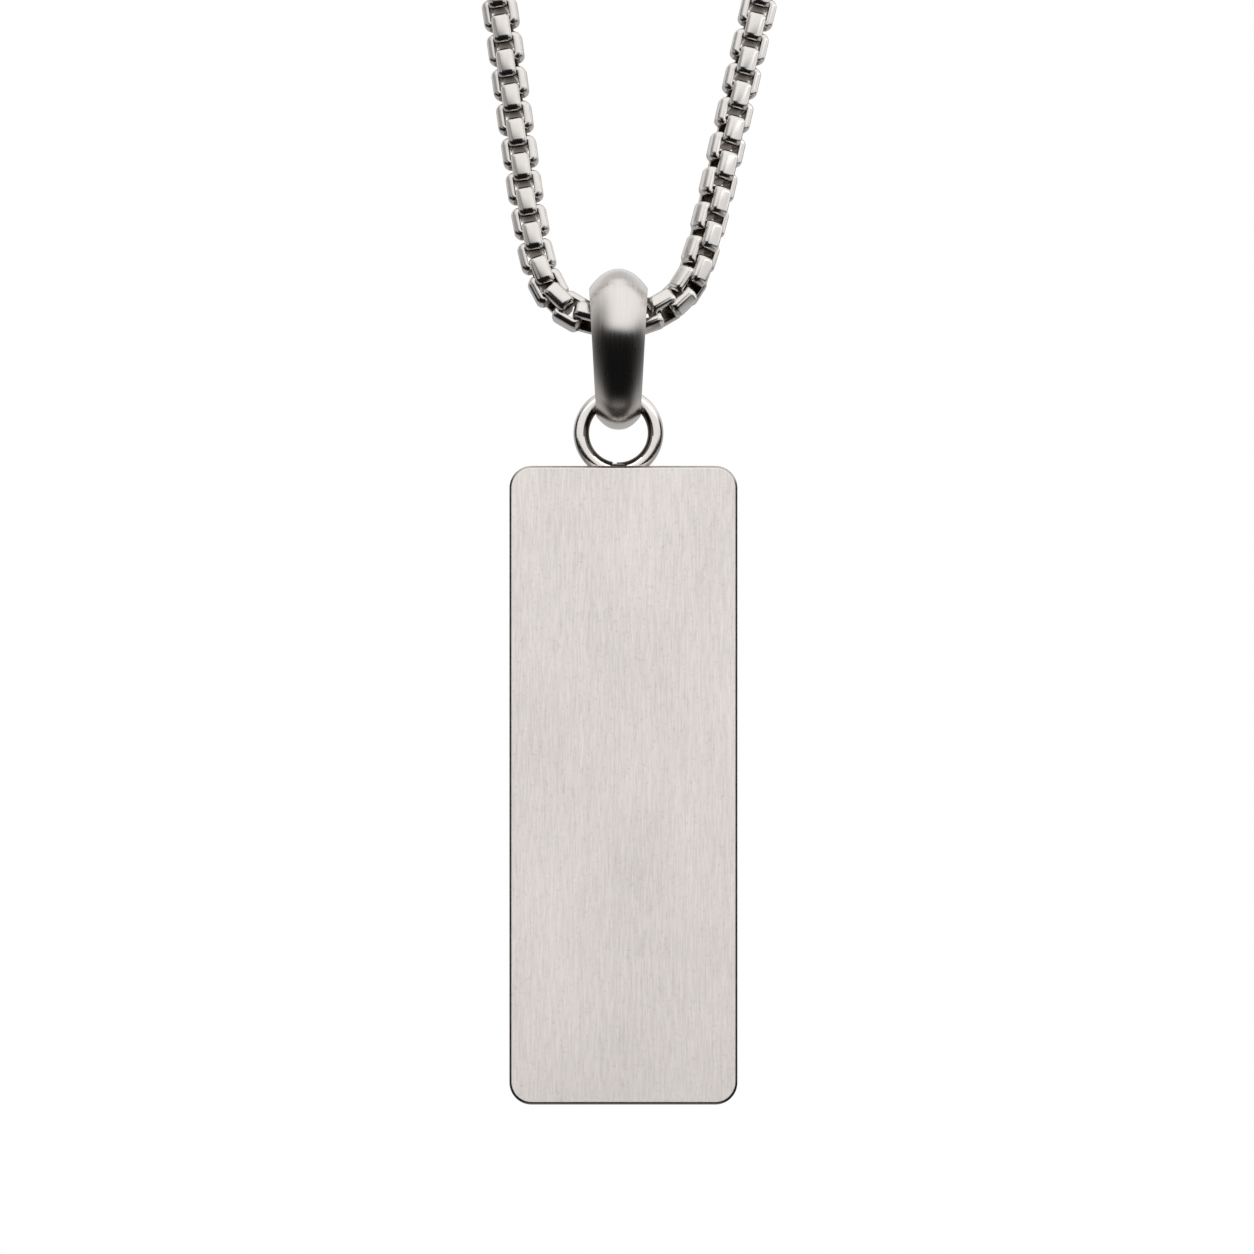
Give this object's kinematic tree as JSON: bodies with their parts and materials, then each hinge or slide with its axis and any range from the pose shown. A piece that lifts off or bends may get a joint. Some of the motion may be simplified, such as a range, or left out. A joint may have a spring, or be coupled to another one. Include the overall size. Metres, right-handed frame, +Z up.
{
  "type": "plate necklace",
  "caption": "Steel necklace: a plain brushed rectangular plate on a jump ring, a domed tapered bail and a round box chain, as worn.",
  "frame": {"origin": "The nape, at the middle of the clasp's front face, where the necklace rests on the back of the neck.", "axes": "+Z is up, +X is the wearer's left as seen on the right by a viewer in front, and the plate's face looks along -Y."},
  "size_m": [0.1234, 0.1416, 0.243],
  "materials": {
    "chain_steel": "polished",
    "bail_steel": "fine satin polish",
    "plate_steel": "brushed along its height"
  },
  "bodies": {
    "chain": {"chain": "chain_steel", "clasp": "chain_steel"},
    "bail": {"bail": "bail_steel"},
    "plate": {"tag_plate": "plate_steel"}
  },
  "joints": [
    {"name": "bail_swing", "type": "hinge", "parent": "chain", "child": "bail", "pos_m": [0, -0.132, -0.18605], "axis": [1, 0, 0], "range_deg": [-120, 100]},
    {"name": "plate_swing", "type": "hinge", "parent": "bail", "child": "plate", "pos_m": [0, -0.132, -0.19388], "axis": [0, 1, 0], "range_deg": [-60, 60]}
  ]
}
